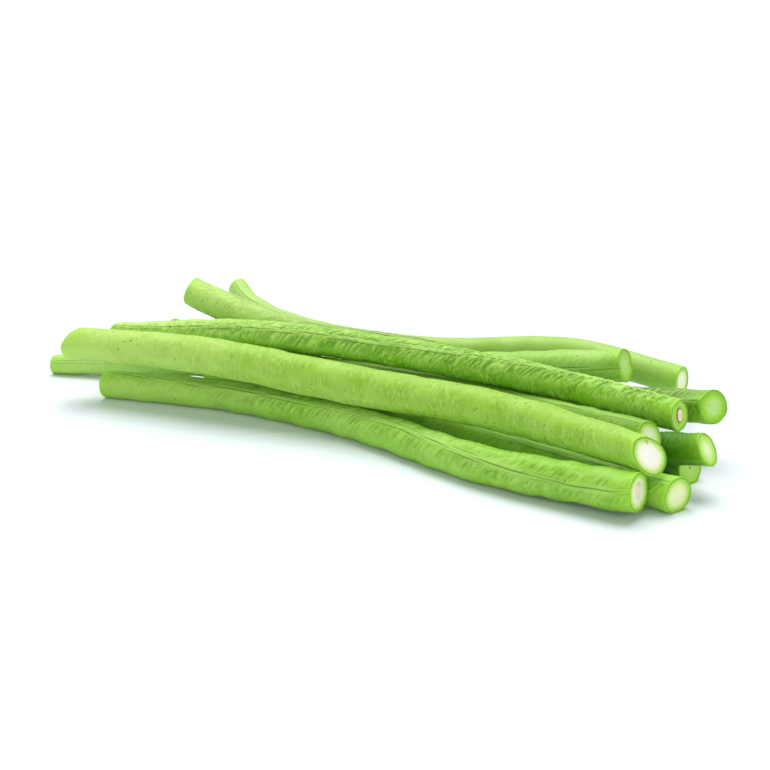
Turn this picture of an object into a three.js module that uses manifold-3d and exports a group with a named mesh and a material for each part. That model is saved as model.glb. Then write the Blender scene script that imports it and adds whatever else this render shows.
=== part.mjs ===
// A bunch of yardlong beans: ten long cut lengths of pod, lying loose on a table.
// Units are millimetres, +Z is up, and the table is at z = 0.
//
// Each pod is a round tapering stick. It is turned straight on the lathe, then bent along the curve
// it lies in. The pods are laid one after another, as a hand lays them: each comes down until it
// rests on the table or on pods already there, so no height is typed in. What is given for a pod is
// its route seen from above, its own upward curl, its thickness and the slant of its two knife cuts.
import * as THREE from 'three';
import { mergeVertices } from 'three/addons/utils/BufferGeometryUtils.js';
import Module from 'manifold-3d';

const AIR = 0.4; // air left between two pods that touch
const PRESS = 0.22; // how far a pod's round underside is flattened where it lies on the table
const SIDES = 16; // facets around a pod
const RINGS = 25; // sections along a pod
const STATIONS = 120; // steps along a pod when it is laid down
const CUT_FADE = 16; // length over which the sections turn square again behind a slanted cut
const TABLE = new THREE.Vector3(400, 400, 30); // the block that trims the undersides flat

const SEED_SIZE = new THREE.Vector3(1.3, 2.1, 1.6); // half width, half height, half depth
const SEED_AIR = 0.3; // air between a seed and the pocket it sits in
const SEED_SIDES = 16;

const POD_FINISH = { roughness: 0.55, metalness: 0 };
const SEED_FINISH = { color: 0xe9e6c8, roughness: 0.6, metalness: 0 };

/** The pods in the order they are laid. route: [x, y, curl] from the left end to the right end.
 *  radii: thickness at even steps along the pod. leftCut and rightCut are the ways the cut faces
 *  look: [turn from +X towards +Y, tilt upwards], in degrees. seed: how far the seed that shows in
 *  the right face sits [sideways, upwards] from the pod's middle. */
const PODS = {
  pod_front_low: {
    route: [[-90.5, -42.5, 0], [-39.5, -31.5, 0], [12.5, -34.5, 0], [63, -47, 0], [114.5, -50, 2]],
    radii: [4.8, 5.4, 5.6, 5.9, 6.1],
    leftCut: [190, 0],
    rightCut: [-4, 5],
    seed: [0, 0.6],
    color: 0x86b342,
  },
  pod_low_second: {
    route: [[-60.5, -20.5, 0], [-14, -20.5, 0], [32, -25.5, 0], [77.5, -33.5, 0], [122.5, -39, 0]],
    radii: [4.9, 5.4],
    leftCut: [182, 0],
    rightCut: [-22, 2],
    color: 0x8aba46,
  },
  pod_low_back: {
    route: [[-85, 50.5, 0], [-30.5, 47.5, 0], [22.5, 37, 0], [72, 15, 0], [117.5, -15, 0]],
    radii: [4.8, 5.1],
    leftCut: [170, 0],
    rightCut: [-20, 13],
    color: 0x7fae3e,
  },
  pod_low_middle: {
    route: [[-65, 26, 1], [-17, 14, -0.5], [31, 0, -1], [79, -13.5, -0.5], [125.5, -23.5, 8]],
    radii: [4.8, 4.95],
    leftCut: [160, 0],
    rightCut: [-4, 29],
    color: 0x6f9f35,
  },
  pod_front_high: {
    route: [[-98.5, -47.5, 2.5], [-45.5, -39.5, 3.5], [7.5, -32.5, 0], [61, -35, 1], [114.5, -43.5, -0.5]],
    radii: [5.8, 6.3, 6.5, 6.1, 5.2],
    leftCut: [160, 10],
    rightCut: [-27, 23],
    color: 0xa5cf57,
  },
  pod_crossing: {
    route: [[-126, -31, 1.5], [-75.5, -13.5, 0], [-23.5, -1, -0.5], [29.5, 7, 1], [81, 20.5, 1.5]],
    radii: [3.6, 5.7],
    leftCut: [197, 0],
    rightCut: [0, 13],
    color: 0x9ac45e,
  },
  pod_inner: {
    route: [[-83, -13, -2.5], [-34.5, -16.5, -3.5], [14.5, -16, -1], [63, -16, 0], [109.5, -29, 5]],
    radii: [5.1, 4.9],
    leftCut: [176, 0],
    rightCut: [-22, 20],
    color: 0x86b147,
  },
  pod_raised: {
    route: [[-76.5, -10, -3], [-29, -14, -4.5], [19.5, -5, 0], [68.5, 2, -1.5], [117, 6, 8.5]],
    radii: [4.9, 5.3, 5, 5, 5.4],
    leftCut: [190, 20],
    rightCut: [-24, 13],
    color: 0x8ab74b,
  },
  pod_far_back: {
    route: [[-95, 42, 11.5], [-73.5, 34, 4], [-37, 30, 0], [7, 31.5, 0], [52.5, 37.5, 4], [95, 37.5, -1]],
    radii: [3.9, 4.6, 5, 5.2, 4.9],
    leftCut: [165, 25],
    rightCut: [-6, 4],
    color: 0xafd170,
  },
  pod_top: {
    route: [[-94, -34, -1.5], [-41, -26, 4.5], [10.5, -20, 4], [61, -12, -0.5], [112, -11, -6]],
    radii: [4.8, 5, 4.7],
    leftCut: [196, 15],
    rightCut: [-11, 8],
    seed: [0, 0.2],
    color: 0x85b843,
  },
};

/** Radius of a pod at t = 0 (left end) to t = 1 (right end). */
function radiusAt(radii, t) {
  const place = t * (radii.length - 1);
  const index = Math.min(Math.floor(place), radii.length - 2);
  return THREE.MathUtils.lerp(radii[index], radii[index + 1], place - index);
}

/** The smooth curve through a pod's route points. */
function curveThrough(points) {
  return new THREE.CatmullRomCurve3(points, false, 'catmullrom');
}

/** The unit direction of a [turn, tilt] pair in degrees. */
function direction([turn, tilt]) {
  const [a, b] = [turn, tilt].map(THREE.MathUtils.degToRad);
  return new THREE.Vector3(Math.cos(b) * Math.cos(a), Math.cos(b) * Math.sin(a), Math.sin(b));
}

/** The lowest height that the middle of a pod may have at a point, over the table and laid pods. */
function lowestHeight(point, radius, laid) {
  let height = radius - PRESS;
  for (const other of laid) {
    const reach = radius + other.radius + AIR;
    const apart = Math.hypot(point.x - other.point.x, point.y - other.point.y);
    if (apart < reach) height = Math.max(height, other.point.z + Math.sqrt(reach ** 2 - apart ** 2));
  }
  return height;
}

/** The straight ramp a pod lies on once it has tipped onto its two supports.
 *  needs: Vector2(x, lowest height there) from left to right. middleX: the pod's balance point. */
function restingRamp(needs, middleX) {
  const crest = [];
  for (const need of needs) {
    while (crest.length > 1) {
      const last = crest.at(-1);
      const before = crest.at(-2);
      const dips = last.clone().sub(before).cross(need.clone().sub(before)) < 0;
      if (dips) break;
      crest.pop();
    }
    crest.push(need);
  }
  const right = Math.max(1, crest.findIndex((need) => need.x >= middleX));
  const [from, to] = [crest[right - 1], crest[right]];
  const slope = (to.y - from.y) / (to.x - from.x);
  return { slope, height: from.y - slope * from.x };
}

/** Lay the pods one after another, and give each the curve its middle line ends up in. */
function layDown(pods) {
  const laid = [];
  const curves = {};
  for (const [name, { route, radii }] of Object.entries(pods)) {
    const points = route.map((place) => new THREE.Vector3(...place));
    const stations = curveThrough(points).getPoints(STATIONS);
    const radiusOf = (index) => radiusAt(radii, index / STATIONS);
    const needs = stations.map((point, index) =>
      new THREE.Vector2(point.x, lowestHeight(point, radiusOf(index), laid) - point.z));
    const middleX = stations.reduce((sum, point) => sum + point.x, 0) / stations.length;
    const ramp = restingRamp(needs, middleX);
    for (const point of [...points, ...stations]) point.z += ramp.height + ramp.slope * point.x;
    laid.push(...stations.map((point, index) => ({ point, radius: radiusOf(index) })));
    curves[name] = curveThrough(points);
  }
  return curves;
}

/** A straight stick of radius 1 and height 1 along +Y, with a facet facing each way. */
function turnedStick() {
  const profile = [new THREE.Vector2(0, 0)];
  for (let ring = 0; ring < RINGS; ring++) profile.push(new THREE.Vector2(1, ring / (RINGS - 1)));
  profile.push(new THREE.Vector2(0, 1));
  return new THREE.LatheGeometry(profile, SIDES, Math.PI / SIDES);
}

/** Bend the turned stick along a pod's curve, with its thickness and its slanted cuts. */
function podGeometry(curve, { radii, leftCut, rightCut }) {
  const geometry = turnedStick();
  const position = geometry.attributes.position;
  const length = curve.getLength();
  const up = new THREE.Vector3(0, 0, 1);
  const left = direction(leftCut);
  const right = direction(rightCut);
  for (let index = 0; index < position.count; index++) {
    const [across, t, high] = [position.getX(index), position.getY(index), position.getZ(index)];
    const along = curve.getTangent(t);
    const side = new THREE.Vector3().crossVectors(along, up).normalize();
    const top = new THREE.Vector3().crossVectors(side, along);
    const out = side.multiplyScalar(across).addScaledVector(top, high).multiplyScalar(radiusAt(radii, t));
    const nearLeft = 1 - THREE.MathUtils.smoothstep(t * length, 0, CUT_FADE);
    const nearRight = 1 - THREE.MathUtils.smoothstep((1 - t) * length, 0, CUT_FADE);
    const slide = -nearLeft * out.dot(left) / along.dot(left)
      - nearRight * out.dot(right) / along.dot(right);
    const place = curve.getPoint(t).add(out).addScaledVector(along, slide);
    position.setXYZ(index, place.x, place.y, place.z);
  }
  return geometry;
}

/** The seed-shaped body that stands in a pod's right face, swollen by some air. */
function seedGeometry(curve, { rightCut, seed }, air) {
  const facing = direction(rightCut);
  const side = new THREE.Vector3(0, 0, 1).cross(facing).normalize();
  const top = new THREE.Vector3().crossVectors(facing, side);
  const place = curve.getPoint(1).addScaledVector(side, seed[0]).addScaledVector(top, seed[1]);
  const size = SEED_SIZE.clone().addScalar(air);
  return new THREE.SphereGeometry(1, SEED_SIDES, SEED_SIDES / 2)
    .scale(size.x, size.y, size.z)
    .applyMatrix4(new THREE.Matrix4().makeBasis(side, top, facing).setPosition(place));
}

const wasm = await Module();
wasm.setup();

/** A closed geometry as a solid that can be cut. */
function solidOf(geometry) {
  geometry.deleteAttribute('normal');
  geometry.deleteAttribute('uv');
  const merged = mergeVertices(geometry);
  const corners = merged.index.array;
  const kept = [];
  for (let first = 0; first < corners.length; first += 3) {
    const [a, b, c] = corners.slice(first, first + 3);
    if (a !== b && b !== c && c !== a) kept.push(a, b, c);
  }
  const vertProperties = new Float32Array(merged.attributes.position.array);
  const triVerts = new Uint32Array(kept);
  return new wasm.Manifold(new wasm.Mesh({ numProp: 3, vertProperties, triVerts }));
}

/** A named mesh of a cut solid. */
function meshOf(name, solid, finish) {
  const { vertProperties, triVerts } = solid.getMesh();
  const geometry = new THREE.BufferGeometry();
  geometry.setAttribute('position', new THREE.BufferAttribute(vertProperties, 3));
  geometry.setIndex(new THREE.BufferAttribute(triVerts, 1));
  geometry.computeVertexNormals();
  const mesh = new THREE.Mesh(geometry, new THREE.MeshStandardMaterial(finish));
  mesh.name = name;
  return mesh;
}

/** One pod, trimmed flat where it lies on the table, and the seed in its face if one shows. */
function podMeshes(name, pod, curve, table) {
  const whole = solidOf(podGeometry(curve, pod)).subtract(table);
  const finish = { color: pod.color, ...POD_FINISH };
  if (!pod.seed) return [meshOf(name, whole, finish)];
  const pocket = solidOf(seedGeometry(curve, pod, SEED_AIR));
  const seed = solidOf(seedGeometry(curve, pod, 0)).intersect(whole);
  return [
    meshOf(name, whole.subtract(pocket), finish),
    meshOf(name.replace('pod', 'seed'), seed, SEED_FINISH),
  ];
}

/** The whole bunch, with the origin under the middle of its box, on the table. */
function beanBunch() {
  const bunch = new THREE.Group();
  const table = solidOf(new THREE.BoxGeometry(...TABLE).translate(0, 0, -TABLE.z / 2));
  const curves = layDown(PODS);
  for (const [name, pod] of Object.entries(PODS)) bunch.add(...podMeshes(name, pod, curves[name], table));
  const middle = new THREE.Box3().setFromObject(bunch).getCenter(new THREE.Vector3());
  bunch.position.set(-middle.x, -middle.y, 0);
  return bunch;
}

export default beanBunch();
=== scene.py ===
"""The looks of a bunch of yardlong beans: ten long cut pods lying loose on a pale table.

Each pod takes its middle line, its thickness and the planes of its two knife cuts from its own
solid in the frame. A Geometry Nodes tree sweeps the skin along that line, with the seams, ribs,
wrinkles and seed swellings as real relief, and mesh code closes both ends with a cut face: rind,
moist outer flesh and spongy middle. Sizes of pieces are in millimetres until a mesh is made.
"""

import logging
import math
from dataclasses import astuple, dataclass, field
from enum import Enum
from typing import Callable, Union

import bmesh
import bpy
import numpy as np
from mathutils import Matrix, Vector, noise

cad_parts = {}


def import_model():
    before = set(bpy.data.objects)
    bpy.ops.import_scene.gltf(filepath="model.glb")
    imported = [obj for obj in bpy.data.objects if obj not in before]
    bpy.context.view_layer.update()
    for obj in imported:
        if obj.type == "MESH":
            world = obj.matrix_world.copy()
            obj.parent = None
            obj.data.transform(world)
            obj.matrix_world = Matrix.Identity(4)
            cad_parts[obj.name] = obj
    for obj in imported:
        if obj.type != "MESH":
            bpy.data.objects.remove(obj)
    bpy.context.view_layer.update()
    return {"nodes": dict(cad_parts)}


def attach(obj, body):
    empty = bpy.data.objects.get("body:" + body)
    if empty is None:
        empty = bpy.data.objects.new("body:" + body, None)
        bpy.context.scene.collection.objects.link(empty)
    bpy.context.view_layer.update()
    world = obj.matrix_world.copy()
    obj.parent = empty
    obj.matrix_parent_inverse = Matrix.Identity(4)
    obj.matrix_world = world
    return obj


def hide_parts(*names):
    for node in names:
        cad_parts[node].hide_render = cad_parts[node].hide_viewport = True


LOG = logging.getLogger("bean_bunch")
MM = 0.001


def linear(code: str) -> tuple[float, float, float, float]:
    """A colour that the shader nodes take.

    Args:
        code: the colour as six hexadecimal digits, as screens show it.

    Returns:
        Red, green and blue as light, and 1 for opaque.
    """
    shares = [int(code[first:first + 2], 16) / 255 for first in (0, 2, 4)]
    light = [s / 12.92 if s <= 0.04045 else ((s + 0.055) / 1.055) ** 2.4 for s in shares]
    return light[0], light[1], light[2], 1.0


# ---------------------------------------------------------------- node trees


class Field:
    """A value that varies over a surface inside a node tree, written into sums as a number is."""

    def __init__(self, graph: "Graph", socket: bpy.types.NodeSocket) -> None:
        """Args: graph, the tree it belongs to; socket, the output that carries it."""
        self.graph = graph
        self.socket = socket

    def __add__(self, other: "Value") -> "Field":
        """This plus other."""
        return self.graph.math("ADD", self, other)

    def __sub__(self, other: "Value") -> "Field":
        """This less other."""
        return self.graph.math("SUBTRACT", self, other)

    def __rsub__(self, other: "Value") -> "Field":
        """Other less this."""
        return self.graph.math("SUBTRACT", other, self)

    def __mul__(self, other: "Value") -> "Field":
        """This times other."""
        return self.graph.math("MULTIPLY", self, other)

    def __truediv__(self, other: "Value") -> "Field":
        """This over other."""
        return self.graph.math("DIVIDE", self, other)

    __radd__ = __add__
    __rmul__ = __mul__


Value = Union[Field, float, int, tuple, str]


class Graph:
    """A node tree that is being wired, with a short way to say each kind of node."""

    def __init__(self, tree: bpy.types.NodeTree) -> None:
        """Args: tree, the node tree to wire."""
        self.tree = tree

    def node(self, kind: str, inputs: dict, **settings) -> bpy.types.Node:
        """Add a node.

        Args:
            kind: the node's type name.
            inputs: what each input takes, by its name or number.
            settings: the node's own options.

        Returns:
            The new node.
        """
        node = self.tree.nodes.new(kind)
        for name, value in settings.items():
            setattr(node, name, value)
        for key, value in inputs.items():
            self.put(self.input(node, key), value)
        return node

    def input(self, node: bpy.types.Node, key: Union[str, int]) -> bpy.types.NodeSocket:
        """Find an input of a node.

        Args:
            node: the node.
            key: the input's name, among the ones in use, or its number.

        Returns:
            The input.
        """
        if isinstance(key, int):
            return node.inputs[key]
        return next(socket for socket in node.inputs if socket.enabled and socket.name == key)

    def put(self, socket: bpy.types.NodeSocket, value: Value) -> None:
        """Give an input its value.

        Args:
            socket: the input.
            value: a field, which is linked to it, or a plain number.
        """
        if isinstance(value, Field):
            self.tree.links.new(value.socket, socket)
        else:
            socket.default_value = value

    def field(self, kind: str, inputs: dict, output: Union[str, int] = 0, **settings) -> Field:
        """Add a node and take one of its outputs.

        Args:
            kind: the node's type name.
            inputs: what each input takes.
            output: the output's name or number.
            settings: the node's own options.

        Returns:
            The output, as a field.
        """
        node = self.node(kind, inputs, **settings)
        if isinstance(output, int):
            return Field(self, [socket for socket in node.outputs if socket.enabled][output])
        return Field(self, node.outputs[output])

    def math(self, operation: str, *values: Value) -> Field:
        """A Math node on the values."""
        return self.field("ShaderNodeMath", dict(enumerate(values)), operation=operation)

    def vector(self, operation: str, *values: Value, output: str = "Vector") -> Field:
        """A Vector Math node.

        Args:
            operation: what it does.
            values: what it takes, in order.
            output: the name of the output that is wanted.

        Returns:
            The output, as a field.
        """
        inputs = dict(enumerate(values))
        if operation == "SCALE":
            inputs["Scale"] = inputs.pop(1)
        return self.field("ShaderNodeVectorMath", inputs, output, operation=operation)

    def ramp(self, value: Value, low: float, high: float,
             start: float = 0, end: float = 1) -> Field:
        """A smooth step of value from start, at low, to end, at high."""
        inputs = {"Value": value, "From Min": low, "From Max": high, "To Min": start, "To Max": end}
        return self.field("ShaderNodeMapRange", inputs, interpolation_type="SMOOTHSTEP")

    def bell(self, distance: Field, width: Value) -> Field:
        """1 where distance is 0, falling smoothly to nothing over about twice the width."""
        share = distance / width
        return self.math("EXPONENT", share * share * -1.0)

    def grain(self, place: Value, scale: float, detail: float = 2.0, rough: float = 0.5) -> Field:
        """Smooth noise from 0 to 1 at a place."""
        inputs = {"Vector": place, "Scale": scale, "Detail": detail, "Roughness": rough}
        return self.field("ShaderNodeTexNoise", inputs, "Fac")

    def point(self, x: Value, y: Value = 0.0, z: Value = 0.0) -> Field:
        """A place from its three numbers."""
        return self.field("ShaderNodeCombineXYZ", {"X": x, "Y": y, "Z": z})

    def mix(self, share: Value, first: Value, second: Value) -> Field:
        """The first colour, turned into the second by share."""
        return self.field("ShaderNodeMix", {"Factor": share, "A": first, "B": second}, data_type="RGBA")

    def paint(self, ground: Value, *coats: tuple[Value, str]) -> Field:
        """Lay colours over one another.

        Args:
            ground: the colour that lies under them.
            coats: for each, how much of it shows and its colour, as screens show it.

        Returns:
            The colour on top.
        """
        for share, code in coats:
            ground = self.mix(share, ground, linear(code))
        return ground


def add_object(name: str, data: bpy.types.ID) -> bpy.types.Object:
    """Put something in the scene.

    Args:
        name: the object's name.
        data: its mesh, lamp or camera.

    Returns:
        The object.
    """
    thing = bpy.data.objects.new(name, data)
    bpy.context.scene.collection.objects.link(thing)
    return thing


# ------------------------------------------------------- a pod's solid, read back


@dataclass(frozen=True)
class Cut:
    """A knife cut: the way it faces and the point where the pod's middle line ends, in millimetres."""

    facing: np.ndarray
    middle: np.ndarray

    def axes(self) -> tuple[np.ndarray, np.ndarray]:
        """Two directions in the cut's plane.

        Returns:
            The level one and the rising one.
        """
        side = np.cross([0.0, 0.0, 1.0], self.facing)
        side /= np.linalg.norm(side)
        return side, np.cross(self.facing, side)


class PodSolid:
    """A pod's solid in the frame, read back as a middle line, a thickness and two cuts."""

    STATIONS = 47  # upright slices taken along the solid
    END_GAP = 6.0  # how far the first and last slices keep from the ends
    END_REACH = 14.0  # how deep a slanted cut may reach
    FACETS = 16  # sides of the solid's section
    GUIDES = 61  # points of the line that is handed to the sweep
    LINE_DEGREE = 9  # of the smooth curves through the slices' middles
    THICKNESS_DEGREE = 4  # of the smooth curve through their thicknesses
    SQUARENESS = 0.75  # the least cosine between a cut's facing and the pod's own way
    REACH_STEPS = 401  # steps of the search for the point where the line meets a cut
    LENGTH_STEPS = 801  # steps of the sum that measures the line's length

    def __init__(self, node: bpy.types.Object) -> None:
        """Args: node, the pod's object in the frame."""
        mesh = node.data
        mesh.calc_loop_triangles()
        corners = np.empty(len(mesh.vertices) * 3)
        mesh.vertices.foreach_get("co", corners)
        order = np.empty(len(mesh.loop_triangles) * 3, dtype=np.int32)
        mesh.loop_triangles.foreach_get("vertices", order)
        self.triangles = (corners.reshape(-1, 3) / MM)[order.reshape(-1, 3)]
        low, high = self.triangles[..., 0].min(), self.triangles[..., 0].max()
        self.span = (low + self.END_GAP, high - self.END_GAP)
        stations = np.linspace(*self.span, self.STATIONS)
        slices = np.array([self.slice_at(x) for x in stations])
        fit = np.polynomial.Chebyshev.fit
        self.across = fit(stations, slices[:, 0], self.LINE_DEGREE)
        self.height = fit(stations, slices[:, 1], self.LINE_DEGREE)
        steps = np.stack([np.ones_like(stations), self.across.deriv()(stations),
                          self.height.deriv()(stations)], axis=1)
        squareness = 1 / np.linalg.norm(steps, axis=1)
        section = self.FACETS / 2 * math.sin(math.tau / self.FACETS)
        radii = np.sqrt(slices[:, 2] * squareness / section)
        self.thickness = fit(stations, radii, self.THICKNESS_DEGREE)
        self.left = self.cut_at(-1)
        self.right = self.cut_at(1)

    def slice_at(self, x: float) -> tuple[float, float, float]:
        """Cut the solid upright across X.

        Args:
            x: where to cut.

        Returns:
            The middle of the slice in Y and Z, and its area.
        """
        points = self.triangles
        above = points[..., 0] > x
        mixed = above.any(axis=1) & ~above.all(axis=1)
        total, moment = 0.0, np.zeros(2)
        for triangle, sides in zip(points[mixed], above[mixed]):
            ends = []
            for first in range(3):
                second = (first + 1) % 3
                if sides[first] == sides[second]:
                    continue
                a, b = triangle[first], triangle[second]
                share = (x - a[0]) / (b[0] - a[0])
                ends.append((sides[first], (a + (b - a) * share)[1:]))
            leaving = next(place for up, place in ends if up)
            entering = next(place for up, place in ends if not up)
            turn = entering[0] * leaving[1] - entering[1] * leaving[0]
            total += turn / 2
            moment += (entering + leaving) * turn / 6
        middle = moment / total
        return middle[0], middle[1], abs(total)

    def line(self, x: np.ndarray) -> np.ndarray:
        """The middle line, run on straight past the first and last slices.

        Args:
            x: where along X.

        Returns:
            A point of the line for each X.
        """
        inside = np.clip(x, *self.span)
        beyond = x - inside
        y = self.across(inside) + beyond * self.across.deriv()(inside)
        z = self.height(inside) + beyond * self.height.deriv()(inside)
        return np.stack([x, y, z], axis=-1)

    def cut_at(self, end: int) -> Cut:
        """Find the plane of one end's cut.

        Args:
            end: -1 for the left end, 1 for the right one.

        Returns:
            The cut.
        """
        tip = self.span[0] - self.END_GAP if end < 0 else self.span[1] + self.END_GAP
        ahead = self.line(np.array([tip]))[0] - self.line(np.array([tip - end * self.END_GAP]))[0]
        ahead /= np.linalg.norm(ahead)
        normals = np.cross(self.triangles[:, 1] - self.triangles[:, 0],
                           self.triangles[:, 2] - self.triangles[:, 0])
        areas = np.linalg.norm(normals, axis=1)
        facing = normals / np.maximum(areas, 1e-9)[:, None]
        near = np.abs(self.triangles[..., 0].mean(axis=1) - tip) < self.END_REACH
        areas = np.where(near & (facing @ ahead > self.SQUARENESS), areas, 0)
        largest = int(areas.argmax())
        normal, origin = facing[largest], self.triangles[largest, 0]
        reach = np.linspace(-self.END_REACH, self.END_REACH, self.REACH_STEPS) + tip
        gap = (self.line(reach) - origin) @ normal * end
        order = np.argsort(gap)
        x = float(np.interp(0.0, gap[order], reach[order]))
        return Cut(normal, self.line(np.array([x]))[0])

    def guide(self) -> tuple[np.ndarray, np.ndarray]:
        """Even steps along the middle line, from cut to cut.

        Returns:
            The points, and the radius at each.
        """
        x = np.linspace(self.left.middle[0], self.right.middle[0], self.LENGTH_STEPS)
        steps = np.linalg.norm(np.diff(self.line(x), axis=0), axis=1)
        run = np.concatenate([[0], np.cumsum(steps)])
        even = np.interp(np.linspace(0, run[-1], self.GUIDES), run, x)
        return self.line(even), self.thickness(np.clip(even, *self.span))


# ----------------------------------------------------------- the skin's relief


@dataclass(frozen=True)
class Relief:
    """How deep each kind of relief on a pod's skin is, in millimetres."""

    band: float = 0.16  # the raised band along each seam
    groove: float = 0.14  # the pair of fine lines that edge the band
    far_seam: float = 0.6  # the second seam's share of the first one's relief
    ribs: float = 0.10  # short ribs beside the seams
    wrinkles: float = 0.11  # fine creases across the skin
    swellings: float = 0.16  # the seeds inside
    lumps: float = 0.22  # slow unevenness
    pinch: float = 0.0  # how far the seams pull in at the right cut
    teeth: float = 0.0  # notches along the seam's upper edge


class SkinTree:
    """The Geometry Nodes tree that sweeps a pod's skin along its middle line."""

    NAME = "Pod Skin"
    SIZES = ("Band", "Groove", "Far Seam", "Ribs", "Wrinkles", "Swellings", "Lumps", "Pinch", "Teeth")
    BAND_WIDTH = 0.85  # half width of a seam's band
    LINE_WIDTH = 0.22  # of the fine grooves that edge a band
    # each noise has its length along the pod, its width round it and a number that sets it apart
    LUMP = (17, 7, 3)
    SEED_DRIFT = (30, 40, 9)
    SEAM_DEPTH = (11, 30, 5)
    RIB = (0.8, 5.5, 1)
    TOOTH = (1.3, 3, 7)
    CREASE = (0.85, 3.0, 2)
    PATCH = (9, 5, 4)
    CREASE_LEAN = 0.8  # how far a crease runs along the pod as it goes round it
    CREASE_WIDTH = 0.11
    SEED_PITCH = 15.0
    SEED_STRAY = 1.4  # how far the seeds stray from even steps, as a share of a step
    TABLE_GAP = 0.03  # the least height of the skin above the table
    SWAY_PITCH = 14  # how far apart a seam's bends are
    SWAY = 1.1  # how far a seam strays from its smooth route
    RIB_PLACE = 2.9  # how far from a seam its ribs are
    RIB_SPREAD = 1.7
    TOOTH_PLACE = 1.1
    TOOTH_SPREAD = 0.8
    PINCH_REACH = 12  # how far from the right cut a pinch begins
    PINCH_WIDTH = 1.7
    CROWDING = 0.33  # how closely the section's points crowd to the seams
    SETTLE = 0.8  # how near a cut the fine relief dies down

    def __init__(self) -> None:
        """Build the tree."""
        self.tree = bpy.data.node_groups.new(self.NAME, "GeometryNodeTree")
        self.graph = Graph(self.tree)
        self.sockets: dict[str, str] = {}
        self.declare("Guide", "NodeSocketGeometry")
        for name, default in (("Rings", 640), ("Sides", 88), ("Seed", 1)):
            self.declare(name, "NodeSocketInt", default)
        for name in ("Left Cut", "Right Cut"):
            self.declare(name, "NodeSocketVector")
        self.declare("Cut Fade", "NodeSocketFloat", 16.0)
        for name in self.SIZES:
            self.declare(name, "NodeSocketFloat", 0.1)
        self.declare("Material", "NodeSocketMaterial")
        self.tree.interface.new_socket("Skin", in_out="OUTPUT", socket_type="NodeSocketGeometry")
        self.entry = self.tree.nodes.new("NodeGroupInput")
        self.wire()

    def declare(self, name: str, kind: str, default: Union[int, float, None] = None) -> None:
        """Add an input to the tree, and keep its identifier.

        Args:
            name: the input's name.
            kind: its socket type.
            default: what it is when nothing is given.
        """
        socket = self.tree.interface.new_socket(name, in_out="INPUT", socket_type=kind)
        if default is not None:
            socket.default_value = default
        self.sockets[name] = socket.identifier

    def given(self, name: str) -> Field:
        """One of the tree's inputs."""
        return Field(self.graph, self.entry.outputs[name])

    def named(self, name: str) -> Field:
        """A number stored on the guide's points."""
        return self.graph.field("GeometryNodeInputNamedAttribute", {"Name": name}, "Attribute")

    def capture(self, geometry: Field, **fields: tuple[str, Field]) -> tuple[Field, dict[str, Field]]:
        """Keep fields as they are now.

        Args:
            geometry: what they are kept on.
            fields: for each name, its data type and the field.

        Returns:
            The geometry, and the kept fields by name.
        """
        node = self.tree.nodes.new("GeometryNodeCaptureAttribute")
        for name, (kind, _) in fields.items():
            node.capture_items.new(kind, name)
        self.graph.put(node.inputs["Geometry"], geometry)
        for name, (_, value) in fields.items():
            self.graph.put(node.inputs[name], value)
        kept = {name: Field(self.graph, node.outputs[name]) for name in fields}
        return Field(self.graph, node.outputs["Geometry"]), kept

    def path(self) -> tuple[Field, dict[str, Field]]:
        """Smooth the guide.

        Returns:
            The middle line, and what each of its points knows.
        """
        g = self.graph
        curve = g.field("GeometryNodeMeshToCurve", {"Mesh": self.given("Guide")})
        curve = g.field("GeometryNodeCurveSplineType", {"Curve": curve}, spline_type="CATMULL_ROM")
        curve = g.field("GeometryNodeResampleCurve", {"Curve": curve, "Count": self.given("Rings")})
        curve = g.field("GeometryNodeSetCurveNormal", {"Curve": curve}, mode="Z_UP")
        curve = g.field("GeometryNodeSetCurveTilt",
                        {"Curve": curve, "Tilt": self.named("seam_turn") * -1.0})
        return self.capture(
            curve,
            centre=("VECTOR", g.field("GeometryNodeInputPosition", {})),
            ahead=("VECTOR", g.field("GeometryNodeInputTangent", {})),
            along=("FLOAT", g.field("GeometryNodeSplineParameter", {}, "Length") / MM),
            length=("FLOAT", g.field("GeometryNodeSplineLength", {}, "Length") / MM),
        )

    def section(self) -> tuple[Field, Field]:
        """The round section, with its points crowded towards the two seams.

        Returns:
            The section, and the angle of each of its points from the first seam.
        """
        g = self.graph
        circle = g.field("GeometryNodeCurvePrimitiveCircle", {"Resolution": self.given("Sides")})
        index = g.field("GeometryNodeInputIndex", {})
        even = index * math.tau / self.given("Sides")
        turn = even - g.math("SINE", even * 2.0) * self.CROWDING
        place = g.point(g.math("COSINE", turn), g.math("SINE", turn))
        circle = g.field("GeometryNodeSetPosition", {"Geometry": circle, "Position": place})
        circle, kept = self.capture(circle, turn=("FLOAT", turn))
        return circle, g.math("WRAP", kept["turn"], math.pi, -math.pi)

    def relief(self, turn: Field, along: Field, to_right: Field, radius: Field) -> tuple[Field, ...]:
        """How far the skin stands out.

        Args:
            turn: the angle round the pod from its first seam.
            along: the distance from the left cut.
            to_right: the distance to the right cut.
            radius: the pod's thickness there.

        Returns:
            The slow relief, the fine relief, the distance to the nearer seam, and 1 where the
            seam shows as two lines in place of one.
        """
        g = self.graph
        away = g.math("ABSOLUTE", turn)
        shift = self.given("Seed") * 13.7
        sway = g.point(along / self.SWAY_PITCH + shift)
        wander = (g.grain(sway, 1.0, 1.0) - 0.5) * self.SWAY
        seam = g.math("ABSOLUTE", turn * radius + wander)
        far = (math.pi - away) * radius
        round_x = g.math("COSINE", turn) * radius
        round_y = g.math("SINE", turn) * radius

        def at(pitch: float, girth: float, extra: float) -> Field:
            """A place for noise.

            Args:
                pitch: its length along the pod.
                girth: its width round the pod.
                extra: a number that sets it apart from the others.

            Returns:
                The place.
            """
            leant = along + round_y * self.CREASE_LEAN
            return g.point(leant / pitch + shift, round_x / girth + extra, round_y / girth)

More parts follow.
